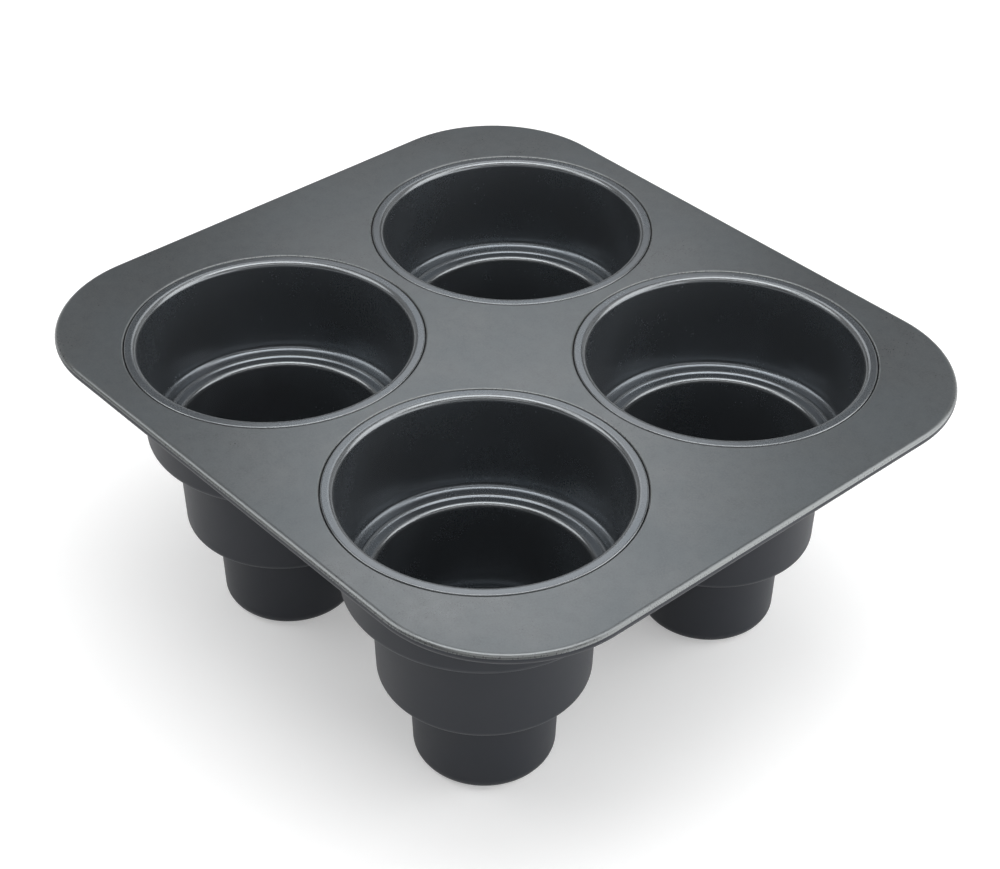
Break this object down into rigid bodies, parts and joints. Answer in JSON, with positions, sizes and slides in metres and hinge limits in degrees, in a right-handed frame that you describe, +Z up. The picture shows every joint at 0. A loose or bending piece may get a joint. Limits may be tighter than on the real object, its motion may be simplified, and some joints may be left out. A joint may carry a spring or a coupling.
{
  "type": "tiered cake pan",
  "caption": "Cake pan with deep stepped cups locked by folded seams into a flat plate with a rolled, wire-stiffened rim.",
  "frame": {"origin": "centre of the pan's footprint, level with the flat undersides of its cups", "axes": "+X along the plate's longer side, +Y along its shorter side, +Z up out of the cups' mouths"},
  "size_m": [0.2792, 0.2532, 0.1205],
  "materials": {
    "plate_coating": "satin non-stick coating",
    "cup_coating": "satin non-stick coating",
    "wire_steel": "bright drawn wire"
  },
  "bodies": {
    "root": {"tray_plate": "plate_coating", "rim_wire": "wire_steel", "cup_front_left": "cup_coating", "cup_front_right": "cup_coating", "cup_back_left": "cup_coating", "cup_back_right": "cup_coating"}
  },
  "joints": []
}
